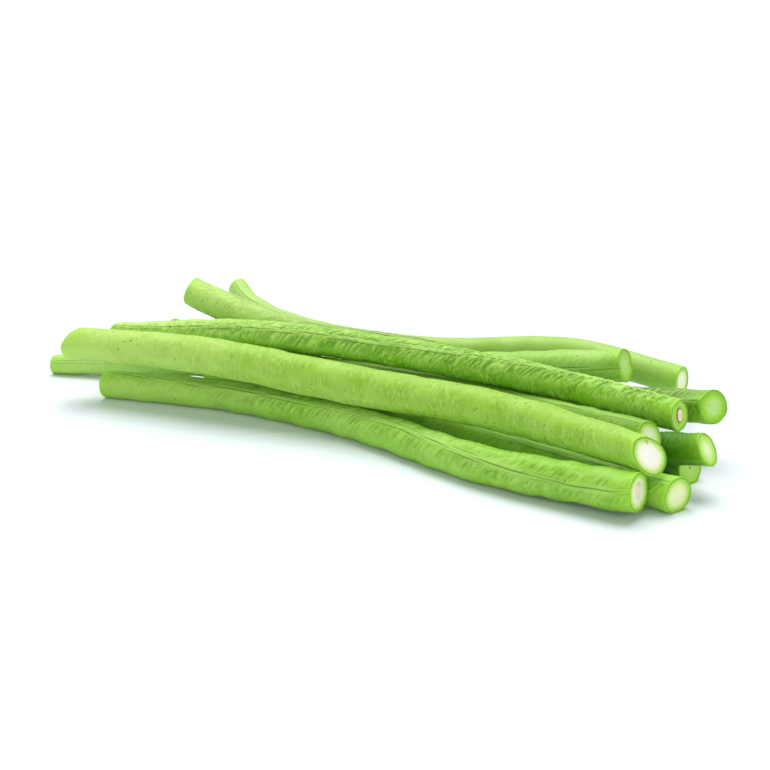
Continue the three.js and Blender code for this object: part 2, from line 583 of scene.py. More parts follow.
        def band(distance: Field) -> Field:
            """A seam's raised band between two fine grooves."""
            edge = g.bell(distance - self.BAND_WIDTH, self.LINE_WIDTH) * split
            flat = g.ramp(distance, self.BAND_WIDTH * 0.3, self.BAND_WIDTH * 2.4, 1, 0)
            middle = g.bell(distance, 0.17) * (1.0 - split)
            return self.given("Band") * flat - self.given("Groove") * (edge + middle)

        split = g.ramp(g.grain(sway, 0.6, 0.0), 0.4, 0.6)

        slow = (g.grain(at(*self.LUMP), 1.0, 1.0) - 0.5) * self.given("Lumps") * 2.0
        drift = g.grain(at(*self.SEED_DRIFT), 1.0, 0.0) * self.SEED_STRAY
        seed_place = along / self.SEED_PITCH + drift
        bulge = g.math("COSINE", seed_place * math.tau)
        flank = g.math("ABSOLUTE", g.math("SINE", turn))
        slow = slow + bulge * flank * self.given("Swellings")
        near_cut = g.ramp(to_right, 0, self.PINCH_REACH, 1, 0)
        nip = g.bell(seam, self.PINCH_WIDTH) + g.bell(far, self.PINCH_WIDTH)
        slow = slow - nip * near_cut * self.given("Pinch")
        depth = g.ramp(g.grain(at(*self.SEAM_DEPTH), 1.0, 1.0), 0.25, 0.6, 0.45, 1.1)
        seams = (band(seam) + band(far) * self.given("Far Seam")) * depth
        beside = (g.bell(seam - self.RIB_PLACE, self.RIB_SPREAD)
                  + g.bell(far - self.RIB_PLACE, self.RIB_SPREAD) * self.given("Far Seam"))
        rib = g.grain(at(*self.RIB), 1.0, 0.0)
        ribs = g.ramp(rib, 0.34, 0.62, -1, 0.8) * beside * self.given("Ribs")
        tooth = g.ramp(g.grain(at(*self.TOOTH), 1.0, 0.0), 0.4, 0.6, -1, 0.6)
        ribs = ribs + tooth * g.bell(seam - self.TOOTH_PLACE, self.TOOTH_SPREAD) * self.given("Teeth")
        crease = g.grain(at(*self.CREASE), 1.0, 1.5, 0.55)
        valley = g.math("ABSOLUTE", crease - 0.5)
        patches = g.ramp(g.grain(at(*self.PATCH), 1.0, 1.0), 0.34, 0.6, 0.25, 1)
        wrinkles = g.ramp(valley, 0.0, self.CREASE_WIDTH, -1, 0.35) * patches * self.given("Wrinkles")
        return slow + seams, ribs + wrinkles, g.math("MINIMUM", seam, far), split

    def wire(self) -> None:
        """Join the whole tree."""
        g = self.graph
        path, kept = self.path()
        section, turn = self.section()
        radius = self.named("thickness")
        skin = g.field("GeometryNodeCurveToMesh",
                       {"Curve": path, "Profile Curve": section, "Scale": radius})
        to_left, to_right = kept["along"], kept["length"] - kept["along"]
        slow, fine, seam, split = self.relief(turn, kept["along"], to_right, radius / MM)
        settle = g.ramp(g.math("MINIMUM", to_left, to_right), 0.0, self.SETTLE, 0.3, 1)
        height = (slow + fine * settle) * MM
        place = g.field("GeometryNodeInputPosition", {})
        out = g.vector("NORMALIZE", g.vector("SUBTRACT", place, kept["centre"]))
        out = g.vector("SCALE", out, radius + height)
        slides = []
        for gap, name in ((to_left, "Left Cut"), (to_right, "Right Cut")):
            cut = self.given(name)
            near = g.ramp(gap / self.given("Cut Fade"), 0, 1, 1, 0)
            lean = (g.vector("DOT_PRODUCT", out, cut, output="Value")
                    / g.vector("DOT_PRODUCT", kept["ahead"], cut, output="Value"))
            slides.append(near * lean)
        back = g.vector("SCALE", kept["ahead"], slides[0] + slides[1])
        out = g.vector("SUBTRACT", out, back)
        moved = g.vector("ADD", kept["centre"], out)
        # the numbers that the finish reads are settled before the points move
        stored = {"along": kept["along"], "to_cut": g.math("MINIMUM", to_left, to_right),
                  "seam": seam, "fine": fine, "turn": turn, "split": split}
        for name, value in stored.items():
            skin = g.field("GeometryNodeStoreNamedAttribute",
                           {"Geometry": skin, "Name": name, "Value": value})
        parts = g.node("ShaderNodeSeparateXYZ", {"Vector": moved})
        above = g.math("MAXIMUM", Field(g, parts.outputs["Z"]), self.TABLE_GAP * MM)
        moved = g.point(Field(g, parts.outputs["X"]), Field(g, parts.outputs["Y"]), above)
        skin = g.field("GeometryNodeSetPosition", {"Geometry": skin, "Position": moved})
        skin = g.field("GeometryNodeSetShadeSmooth", {"Geometry": skin})
        skin = g.field("GeometryNodeRealizeInstances", {"Geometry": skin})
        skin = g.field("GeometryNodeSetMaterial", {"Geometry": skin, "Material": self.given("Material")})
        self.tree.links.new(skin.socket, self.tree.nodes.new("NodeGroupOutput").inputs["Skin"])


# --------------------------------------------------------------- the cut faces


class FaceKind(Enum):
    """What the knife laid open in the middle of a cut face."""

    PLAIN = "even moist flesh"
    SPONGY = "white sponge with a small brown scar under the rim"
    SEEDED = "a pocket with a cut seed in it"
    DOTTED = "a dark dot in the middle"
    BANDED = "a pale band from seam to seam"


@dataclass(frozen=True)
class CutFace:
    """The face that a knife left at one end of a pod, in millimetres."""

    kind: FaceKind
    lip: float = 0.07  # height of the rind's rounded lip
    sink: float = 0.16  # how far the flesh has drawn back inside the lip
    pocket: tuple[float, float] = (1.62, 2.42)  # half width and half height of a seed's pocket
    pocket_depth: float = 1.1
    chamfer: float = 0.1

    def depths(self, radius: float) -> list[float]:
        """Distances from the rim of the rings that make the face, closer together near the rim."""
        near = [self.chamfer, 0.2, 0.3, 0.42, 0.56, 0.74, 0.95]
        return near + list(np.linspace(1.15, radius * 0.985, 20))

    def lie(self, depth: float, u: float, v: float, radius: float,
            seed_up: float) -> tuple[float, float]:
        """The face's relief at one point.

        Args:
            depth: distance in from the rim.
            u: level distance from the middle.
            v: rising distance from the middle.
            radius: the pod's radius at the cut.
            seed_up: how far above the middle a seed sits.

        Returns:
            The height above the cut's plane, and how much of the mark's colour shows, 0 to 1.
        """
        flesh = smooth(depth, 0.35, 1.1)
        rough = noise.noise(Vector((u * 1.3, v * 1.3, radius))) * 0.10 * flesh
        fine = noise.noise(Vector((u * 3.7, v * 3.7, radius))) * 0.035 * flesh
        height = self.lip * bell(depth - 0.24, 0.16) - self.sink * flesh + rough + fine
        mark = 0.0
        if self.kind is FaceKind.SPONGY:
            height += noise.noise(Vector((u * 2.2, v * 2.2, 4.0))) * 0.09 * flesh
            # the scar: two short strokes under the rim
            down = radius - v
            stroke = math.hypot((u - 0.25 - 0.2 * (down - 1.7)) / 0.28, (down - 1.8) / 0.8)
            other = math.hypot((u + 0.6) / 0.24, (down - 1.35) / 0.5)
            mark = 0.8 * bell(stroke, 1.0) + 0.7 * bell(other, 1.0)
            height -= 0.25 * bell(stroke, 1.1)
        elif self.kind is FaceKind.SEEDED:
            egg = math.hypot(u / self.pocket[0], (v - seed_up) / self.pocket[1])
            height -= self.pocket_depth * (1 - smooth(egg, 0.84, 1.0))
            height += 0.10 * bell(egg - 1.12, 0.1)
            fleck = noise.noise(Vector((u * 2.6, v * 2.6, 7.0)))
            mark = (0.15 + 0.55 * smooth(fleck, -0.1, 0.25)) * bell(egg - 1.0, 0.13)
            mark *= 0.35 + 0.65 * smooth(v - seed_up, 0.0, 1.6)
        elif self.kind is FaceKind.DOTTED:
            away = math.hypot(u, v * 0.7)
            height -= 0.3 * bell(away, 0.35)
            mark = 0.9 * bell(away, 0.32)
        elif self.kind is FaceKind.BANDED:
            height -= 0.1 * bell(abs(v + 0.3 * u) - 0.55, 0.2)
        else:
            egg = math.hypot(u / 1.5, v / 2.3)
            height -= 0.10 * bell(egg - 1.0, 0.3)
        return height, min(mark, 1.0)


def smooth(value: float, low: float, high: float) -> float:
    """A smooth step from 0, at low, to 1, at high."""
    share = min(max((value - low) / (high - low), 0.0), 1.0)
    return share * share * (3 - 2 * share)


def bell(distance: float, width: float) -> float:
    """1 where distance is 0, falling smoothly away over width."""
    return math.exp(-((distance / width) ** 2))


# ------------------------------------------------------------------- finishes


class Effects:
    """The shader node groups that more than one finish uses."""

    def __init__(self) -> None:
        """Build the groups."""
        self.mottle = self.group("Mottle", {"Size": 9.0, "Contrast": 1.0}, self.wire_mottle)
        self.specks = self.group("Specks", {"Size": 2.4, "Share": 0.3}, self.wire_specks)
        self.fibre = self.group("Flesh Fibre", {"Size": 0.6}, self.wire_fibre)

    def group(self, name: str, sizes: dict[str, float], wire: Callable) -> bpy.types.NodeTree:
        """A node group that turns a place, in millimetres, into one mask.

        Args:
            name: the group's name.
            sizes: its number inputs and their defaults.
            wire: the method that wires it.

        Returns:
            The group.
        """
        tree = bpy.data.node_groups.new(name, "ShaderNodeTree")
        tree.interface.new_socket("Place", in_out="INPUT", socket_type="NodeSocketVector")
        for label, value in sizes.items():
            socket = tree.interface.new_socket(label, in_out="INPUT", socket_type="NodeSocketFloat")
            socket.default_value = value
        tree.interface.new_socket("Mask", in_out="OUTPUT", socket_type="NodeSocketFloat")
        graph = Graph(tree)
        entry = tree.nodes.new("NodeGroupInput")
        given = {socket.name: Field(graph, socket) for socket in entry.outputs if socket.name}
        leave = tree.nodes.new("NodeGroupOutput")
        graph.put(leave.inputs["Mask"], wire(graph, given))
        return tree

    @staticmethod
    def in_sizes(g: Graph, given: dict[str, Field]) -> Field:
        """The place, measured in sizes."""
        return g.vector("SCALE", given["Place"], g.math("DIVIDE", 1.0, given["Size"]))

    @staticmethod
    def wire_mottle(g: Graph, given: dict[str, Field]) -> Field:
        """Slow cloudy variation."""
        cloud = g.grain(Effects.in_sizes(g, given), 1.0, 3.0, 0.55)
        return g.math("MULTIPLY_ADD", g.ramp(cloud, 0.3, 0.7, -0.5, 0.5), given["Contrast"], 0.5)

    @staticmethod
    def wire_specks(g: Graph, given: dict[str, Field]) -> Field:
        """Scattered small round spots."""
        cell = g.node("ShaderNodeTexVoronoi", {"Vector": Effects.in_sizes(g, given), "Scale": 1.0})
        lot = g.field("ShaderNodeSeparateColor", {"Color": Field(g, cell.outputs["Color"])})
        chosen = g.math("LESS_THAN", lot, given["Share"])
        return g.ramp(Field(g, cell.outputs["Distance"]), 0.07, 0.17, 1, 0) * chosen

    @staticmethod
    def wire_fibre(g: Graph, given: dict[str, Field]) -> Field:
        """The fine uneven grain of cut flesh."""
        return g.grain(Effects.in_sizes(g, given), 1.0, 4.0, 0.65)

    def use(self, g: Graph, group: bpy.types.NodeTree, place: Field, **sizes: float) -> Field:
        """Place a group in a material.

        Args:
            g: the material's graph.
            group: the group.
            place: where a point of the object is, in millimetres.
            sizes: what the group's other inputs take.

        Returns:
            The group's mask.
        """
        node = g.tree.nodes.new("ShaderNodeGroup")
        node.node_tree = group
        for label, value in {"Place": place, **sizes}.items():
            g.put(node.inputs[label], value)
        return Field(g, node.outputs["Mask"])


def new_material(name: str) -> tuple[bpy.types.Material, Graph, bpy.types.Node]:
    """Start a material.

    Args:
        name: its name.

    Returns:
        The material, its graph and its Principled node.
    """
    material = bpy.data.materials.new(name)
    material.use_nodes = True
    graph = Graph(material.node_tree)
    return material, graph, material.node_tree.nodes["Principled BSDF"]


def place_in_mm(g: Graph) -> Field:
    """Where a point of the object is, in millimetres."""
    spot = g.field("ShaderNodeTexCoord", {}, "Object")
    return g.vector("SCALE", spot, 1 / MM)


def surface_number(g: Graph, name: str) -> Field:
    """A number stored on the mesh."""
    return g.field("ShaderNodeAttribute", {}, "Fac", attribute_name=name)


@dataclass(frozen=True)
class PodFinish:
    """The colours and gloss of one pod, as screens show them."""

    skin: str = "82bf30"
    deep: str = "4c8604"
    pale: str = "addb62"
    rim_highlight: str = "a2e02e"  # painted highlight: the skin made brighter beside a cut, where the rim catches the light
    rind: str = "78b81c"
    outer: str = "a6dc4a"
    flesh: str = "ecfac0"
    heart: str = "ffffef"  # the palest part of a cut face
    mark: str = "8f5f33"
    speck: str = "42661a"
    veil: str = "cbe892"
    specks: float = 0.30
    streak: float = 0.16  # how dark the fine cross streaks are
    bloom: float = 0.08
    glow: float = 0.6  # how much of the heart shows
    fade: float = 0.35  # how pale the skin grows towards the left cut
    roughness: float = 0.44

    # sizes in millimetres
    STREAK_PITCH = 0.8
    WRINKLE_PITCH = 0.42  # of the finest wrinkles, which only bend the light
    WRINKLE_DEPTH = 0.09
    PORES = 3.4  # to a millimetre
    FADE_REACH = 95.0  # how far from the left cut the skin is paler
    RIM_HIGHLIGHT_REACH = 3.6  # how far from a cut the painted highlight reaches
    # how far from a cut the painted highlight on the rim's edge reaches
    RIM_GLINT_REACH = 0.55
    LINE_WIDTH = 0.2
    CLOUD_SIZE = 10.0
    VEIL_SIZE = 15.0
    SPECK_PITCH = 3.1
    FIBRE_SIZE = 0.9

    @staticmethod
    def creases(g: Graph, pitch: float) -> Field:
        """Noise drawn out round the pod.

        Args:
            g: the material's graph.
            pitch: its length along the pod, in millimetres.

        Returns:
            The noise, from 0 to 1.
        """
        turn, along = surface_number(g, "turn"), surface_number(g, "along")
        height = g.math("SINE", turn)
        place = g.point((along + height * 3.0) / pitch, g.math("COSINE", turn) * 1.6, height * 1.6)
        return g.grain(place, 1.0, 2.0, 0.6)

    def skin_colour(self, g: Graph, effects: Effects, place: Field) -> Field:
        """The skin: mottled green, with painted shade in its creases and painted highlights on its
        ridges and beside the cuts, specked and bloomed.

        Args:
            g: the material's graph.
            effects: the shared node groups.
            place: where a point of the pod is, in millimetres.

        Returns:
            The colour.
        """
        seam, fine = surface_number(g, "seam"), surface_number(g, "fine")
        split, to_cut = surface_number(g, "split"), surface_number(g, "to_cut")
        cloud = effects.use(g, effects.mottle, place, Size=self.CLOUD_SIZE)
        veil = effects.use(g, effects.mottle, place, Size=self.VEIL_SIZE, Contrast=1.2)
        spots = effects.use(g, effects.specks, place, Size=self.SPECK_PITCH, Share=self.specks)
        pair = g.bell(seam - SkinTree.BAND_WIDTH, self.LINE_WIDTH) * split
        lines = pair + g.bell(seam, self.LINE_WIDTH) * (1.15 - split)
        left = g.ramp(surface_number(g, "along"), 0.0, self.FADE_REACH, self.fade, 0)
        return g.paint(
            linear(self.skin),
            (cloud * 0.3, self.pale),
            (g.ramp(self.creases(g, self.STREAK_PITCH), 0.44, 0.66, 0.0, self.streak), self.deep),
            (g.ramp(fine, 0.0, -0.34, 0, 0.42), self.deep),  # painted shade: darker where the fine relief sinks into creases
            (g.ramp(fine, 0.02, 0.14, 0, 0.4), self.pale),  # painted highlight: paler where the fine relief rises into ridges
            (g.ramp(seam, 0.4, 1.7, 0.5, 0), self.pale),  # the band along a seam
            (left, self.pale),
            (lines * 0.8, self.deep),
            # painted highlight on the skin beside each cut
            (g.math("EXPONENT", to_cut / -self.RIM_HIGHLIGHT_REACH) * 0.6, self.rim_highlight),
            # painted highlight: the rim's very edge lightened to the outer flesh's colour
            (g.ramp(to_cut, 0.0, self.RIM_GLINT_REACH, 0.6, 0), self.outer),
            (spots * 0.6, self.speck),
            (veil * self.bloom, self.veil),
        )

    def face_colour(self, g: Graph, effects: Effects, place: Field, depth: Field) -> Field:
        """The cut face: a green rind, moist outer flesh and a pale heart, with its mark.

        Args:
            g: the material's graph.
            effects: the shared node groups.
            place: where a point of the pod is, in millimetres.
            depth: how far in from the rim it is.

        Returns:
            The colour.
        """
        fibre = effects.use(g, effects.fibre, place, Size=self.FIBRE_SIZE)
        inward = depth + (fibre - 0.5) * 1.6
        return g.paint(
            linear(self.rind),
            (g.ramp(depth + (fibre - 0.5) * 0.5, 0.4, 0.95), self.outer),
            (g.ramp(inward, 0.7, 2.6), self.flesh),
            (g.ramp(inward, 1.6, 4.4, 0, self.glow), self.heart),
            (g.ramp(fibre, 0.52, 0.8, 0, 0.22), self.outer),  # green threads
            (surface_number(g, "mark"), self.mark),
        )

    def material(self, name: str, effects: Effects) -> bpy.types.Material:
        """Build the pod's material.

        Args:
            name: its name.
            effects: the shared node groups.

        Returns:
            The material.
        """
        material, g, shader = new_material(name)
        place = place_in_mm(g)
        depth = surface_number(g, "depth")
        on_face = g.ramp(depth, 0.04, 0.14)
        colour = g.mix(on_face, self.skin_colour(g, effects, place),
                       self.face_colour(g, effects, place, depth))
        g.put(shader.inputs["Base Color"], colour)
        pores = g.grain(g.vector("SCALE", place, self.PORES), 1.0, 2.0)
        rough = g.ramp(pores, 0.2, 0.8, self.roughness - 0.07, self.roughness + 0.08)
        g.put(shader.inputs["Roughness"], rough - on_face * 0.1)
        tiny = pores + self.creases(g, self.WRINKLE_PITCH) * (1.0 - on_face)
        depths = {"Strength": 0.7, "Distance": self.WRINKLE_DEPTH * MM, "Height": tiny}
        g.put(shader.inputs["Normal"], g.field("ShaderNodeBump", depths))
        shader.inputs["Specular IOR Level"].default_value = 0.24
        shader.inputs["Subsurface Weight"].default_value = 0.12
        shader.inputs["Subsurface Radius"].default_value = (0.7, 1.0, 0.35)
        shader.inputs["Subsurface Scale"].default_value = 1.2 * MM
        return material


@dataclass(frozen=True)
class SeedFinish:
    """The colours of a cut seed, as screens show them."""

    cream: str = "f1e8c8"
    heart: str = "e4bd9c"
    coat: str = "a56a3e"

    def material(self, name: str, effects: Effects) -> bpy.types.Material:
        """Build the seed's material: a cream cut with a rosy heart and a thin brown coat.

        Args:
            name: its name.
            effects: the shared node groups.

        Returns:
            The material.
        """
        material, g, shader = new_material(name)
        place = place_in_mm(g)
        edge = surface_number(g, "edge")
        fibre = effects.use(g, effects.fibre, place, Size=0.4)
        cloud = effects.use(g, effects.mottle, place, Size=1.1)
        coat = g.ramp(edge, 0.8, 0.97) * g.ramp(fibre, 0.35, 0.6, 0.15, 0.85)
        middle = g.ramp(edge + (fibre - 0.5) * 0.4, 0.15, 0.6, 0.55, 0)
        colour = g.paint(linear(self.cream), (middle, self.heart), (cloud * 0.2, self.heart),
                         (coat, self.coat))
        g.put(shader.inputs["Base Color"], colour)
        g.put(shader.inputs["Roughness"], g.ramp(fibre, 0.3, 0.7, 0.34, 0.5))
        bump = g.field("ShaderNodeBump", {"Strength": 0.3, "Distance": 0.05 * MM, "Height": fibre})
        g.put(shader.inputs["Normal"], bump)
        shader.inputs["Subsurface Weight"].default_value = 0.15
        shader.inputs["Subsurface Scale"].default_value = 1.0 * MM
        return material


# --------------------------------------------------------------------- pieces


@dataclass
class Pod:
    """One long cut pod: where its first seam runs, its relief, its finish and its two faces."""

    node: str
    seam_turns: tuple[float, ...]  # degrees up from the near side, at even steps from the left cut
    seed_number: int
    finish: PodFinish = field(default_factory=PodFinish)
    relief: Relief = field(default_factory=Relief)
    right_face: FaceKind = FaceKind.PLAIN
    rings: int = 640
    sides: int = 88
    seam_degree: int = 5  # of the smooth curve through the seam's turns

    def guide_mesh(self, solid: PodSolid) -> bpy.types.Mesh:
        """The middle line as joined points, each with its thickness and its seam's turn.

        Args:
            solid: the pod's solid, read back.

        Returns:
            The points' mesh.
        """
        points, radii = solid.guide()
        mesh = bpy.data.meshes.new(f"{self.node}_guide")
        pairs = [(first, first + 1) for first in range(len(points) - 1)]
        mesh.from_pydata((points * MM).tolist(), pairs, [])
        steps = np.linspace(0, 1, len(points))
        marks = np.linspace(0, 1, len(self.seam_turns))
        degree = min(len(self.seam_turns) - 1, self.seam_degree)
        bends = np.polynomial.Chebyshev.fit(marks, self.seam_turns, degree)(steps)
        for name, values in (("thickness", radii * MM), ("seam_turn", np.radians(bends))):
            layer = mesh.attributes.new(name, "FLOAT", "POINT")
            layer.data.foreach_set("value", values)
        return mesh

    def sweep(self, solid: PodSolid, tree: SkinTree, material: bpy.types.Material) -> bpy.types.Mesh:
        """Run the skin tree along the middle line.

        Args:
            solid: the pod's solid, read back.
            tree: the skin tree.
            material: what the skin is dressed in.

        Returns:
            The skin as a plain mesh, open at both cuts.
        """
        guide = add_object(f"{self.node}_guide", self.guide_mesh(solid))
        modifier = guide.modifiers.new("Skin", "NODES")
        modifier.node_group = tree.tree
        values = {"Rings": self.rings, "Sides": self.sides, "Seed": self.seed_number,
                  "Left Cut": solid.left.facing.tolist(), "Right Cut": solid.right.facing.tolist(),
                  "Material": material, **dict(zip(SkinTree.SIZES, astuple(self.relief)))}
        for name, value in values.items():
            modifier[tree.sockets[name]] = value
        scene_graph = bpy.context.evaluated_depsgraph_get()
        mesh = bpy.data.meshes.new_from_object(guide.evaluated_get(scene_graph))
        guide.modifiers.remove(modifier)
        bpy.data.objects.remove(guide)
        return mesh

    def close(self, mesh: bpy.types.Mesh, solid: PodSolid, seed_up: float) -> None:
        """Close both ends of a skin with their cut faces.

        Args:
            mesh: the skin, whose rings run from the left cut to the right one.
            solid: the pod's solid, read back.
            seed_up: how far above the middle of the right face a seed sits.
        """
        shape = bmesh.new()
        shape.from_mesh(mesh)
        shape.verts.ensure_lookup_table()
        depth_layer = shape.verts.layers.float.new("depth")
        mark_layer = shape.verts.layers.float.new("mark")
        rims = shape.verts[:self.sides], shape.verts[-self.sides:]
        ends = ((solid.left, CutFace(FaceKind.PLAIN), rims[0], True),
                (solid.right, CutFace(self.right_face), rims[1], False))
        for cut, face, rim, flip in ends:
            edge = np.array([vert.co for vert in rim]) / MM
            spokes = edge - cut.middle
            radius = float(np.linalg.norm(spokes, axis=1).mean())
            side, top = cut.axes()
            for vert, place in zip(rim, edge):
                vert.co = Vector((place - cut.facing * face.chamfer) * MM)
            previous = rim
            for depth in face.depths(radius):
                ring = []
                for spoke in spokes:
                    place = spoke * (1 - depth / radius)
                    u, v = float(place @ side), float(place @ top)
                    height, mark = face.lie(depth, u, v, radius, seed_up)
                    vert = shape.verts.new(Vector((cut.middle + place + cut.facing * height) * MM))
                    vert[depth_layer], vert[mark_layer] = depth, mark
                    ring.append(vert)
                self.bridge(shape, previous, ring, flip)
                previous = ring
            height, mark = face.lie(radius, 0.0, 0.0, radius, seed_up)
            centre = shape.verts.new(Vector((cut.middle + cut.facing * height) * MM))
            centre[depth_layer], centre[mark_layer] = radius, mark
            for index, vert in enumerate(previous):
                after = previous[(index + 1) % len(previous)]
                shape.faces.new((vert, centre, after) if flip else (vert, after, centre)).smooth = True
        if shape.calc_volume(signed=True) < 0:
            bmesh.ops.reverse_faces(shape, faces=shape.faces)
        bmesh.ops.recalc_face_normals(shape, faces=shape.faces)
        shape.to_mesh(mesh)
        shape.free()

    @staticmethod
    def bridge(shape: bmesh.types.BMesh, outer: list, inner: list, flip: bool) -> None:
        """Join two rings with four-sided faces.

        Args:
            shape: the mesh that holds them.
            outer: one ring's points.
            inner: the other ring's points, as many.
            flip: whether the faces turn the other way.
        """
        for index in range(len(outer)):
            after = (index + 1) % len(outer)
            corners = [outer[index], outer[after], inner[after], inner[index]]
            if flip:
                corners.reverse()
            shape.faces.new(corners).smooth = True

    def build(self, frame_nodes: dict, tree: SkinTree, effects: Effects,
              seed_up: float) -> bpy.types.Object:
        """Make the pod, dress it and hand it to the frame.

        Args:
            frame_nodes: the frame's solids by name.
            tree: the skin tree.
            effects: the shared node groups.
            seed_up: how far above the middle of the right face a seed sits.

        Returns:
            The pod's object.
        """
        solid = PodSolid(frame_nodes[self.node])
        material = self.finish.material(f"{self.node}_skin", effects)
        mesh = self.sweep(solid, tree, material)
        self.close(mesh, solid, seed_up)
        mesh.name = f"{self.node}_looks"
        pod = add_object(f"{self.node}_looks", mesh)
        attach(pod, "root")
        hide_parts(self.node)
        LOG.info("%s: %d faces", pod.name, len(mesh.polygons))
        return pod


@dataclass
class CutSeed:
    """A seed that the knife went through, standing in the pocket of a pod's right face."""

    node: str
    pod: str
    finish: SeedFinish = field(default_factory=SeedFinish)
    sides: int = 56
    front_rings: int = 14
    back_rings: int = 12
    crown: float = 0.16  # how far the cut half swells out of the face, in millimetres
    cleft: float = 0.12  # how deep the line between its two halves is
    set_back: float = 0.06  # how far it has drawn back behind the cut

    def measure(self, frame_nodes: dict) -> tuple[Cut, np.ndarray, np.ndarray]:
        """Read the seed's solid.

        Args:
            frame_nodes: the frame's solids by name.

        Returns:
            The pod's right cut, the seed's middle in it, and half its width, height and depth.
        """
        cut = PodSolid(frame_nodes[self.pod]).right
        mesh = frame_nodes[self.node].data
        places = np.array([vert.co for vert in mesh.vertices]) / MM - cut.middle
        spread = places @ np.stack([*cut.axes(), cut.facing], axis=1)
        low, high = spread.min(axis=0), spread.max(axis=0)
        half = (high - low) / 2 * (1, 1, 2)
        return cut, (low + high) / 2 * (1, 1, 0), half

    def build(self, frame_nodes: dict, effects: Effects) -> bpy.types.Object:
        """Make the seed, dress it and hand it to the frame.

        Args:
            frame_nodes: the frame's solids by name.
            effects: the shared node groups.

        Returns:
            The seed's object.
        """
        cut, middle, half = self.measure(frame_nodes)
        side, top = cut.axes()
        shape = bmesh.new()
        edge_layer = shape.verts.layers.float.new("edge")

        def place(u: float, v: float, w: float, edge: float) -> bmesh.types.BMVert:
            """Add a point of the seed.

            Args:
                u: its level distance from the seed's middle.
                v: its rising distance.
                w: its distance out of the cut's plane.
                edge: how near the seed's coat it is, 0 to 1.

            Returns:
                The point.
            """
            spot = cut.middle + side * (middle[0] + u) + top * (middle[1] + v) + cut.facing * w
            vert = shape.verts.new(Vector(spot * MM))
            vert[edge_layer] = edge
            return vert

        rings = []
        turns = np.linspace(0, math.tau, self.sides, endpoint=False)
        for step in range(1, self.front_rings + 1):
            share = step / self.front_rings
            ring = []
            for turn in turns:
                u, v = half[0] * share * math.cos(turn), half[1] * share * math.sin(turn)
                swell = self.crown * (1 - share ** 4) + 0.05 * noise.noise(Vector((u * 2, v * 2, 1)))
                cleft = self.cleft * bell(u, 0.12) * (1 - share)
                ring.append(place(u, v, swell - cleft - self.set_back, share))
            rings.append(ring)
        for step in range(1, self.back_rings):
            lean = step / self.back_rings * math.pi / 2
            wide, high = half[0] * math.cos(lean), half[1] * math.cos(lean)
            deep = -half[2] * math.sin(lean) - self.set_back
            rings.append([place(wide * math.cos(turn), high * math.sin(turn), deep, 1.0)
                          for turn in turns])
        for outer, inner in zip(rings[:-1], rings[1:]):
            Pod.bridge(shape, outer, inner, True)
        front = place(0, 0, self.crown - self.cleft - self.set_back, 0.0)
        back = place(0, 0, -half[2] - self.set_back, 1.0)
        for index in range(self.sides):
            after = (index + 1) % self.sides
            shape.faces.new((front, rings[0][index], rings[0][after])).smooth = True
            shape.faces.new((back, rings[-1][after], rings[-1][index])).smooth = True
        bmesh.ops.recalc_face_normals(shape, faces=shape.faces)
        mesh = bpy.data.meshes.new(f"{self.node}_looks")
        shape.to_mesh(mesh)
        shape.free()
        mesh.materials.append(self.finish.material(f"{self.node}_flesh", effects))
        seed = add_object(f"{self.node}_looks", mesh)
        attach(seed, "root")
        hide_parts(self.node)
        LOG.info("%s: %d faces", seed.name, len(mesh.polygons))
        return seed


# --------------------------------------------------------------------- studio


@dataclass(frozen=True)
class SoftBox:
    """A far soft box that looks at the bunch and lights the whole table evenly."""

    name: str
    place: tuple[float, float, float]  # the way to it from the bunch
    power: float  # in watts on a square metre
    spread: float  # how wide it looks, in degrees
    shadow: bool = True

    def build(self) -> None:
        """Hang the box."""
        light = bpy.data.lights.new(self.name, "SUN")
        light.energy, light.angle = self.power, math.radians(self.spread)
        light.use_shadow = self.shadow
        lamp = add_object(self.name, light)
        lamp.rotation_euler = (-Vector(self.place)).to_track_quat("-Z", "Y").to_euler()


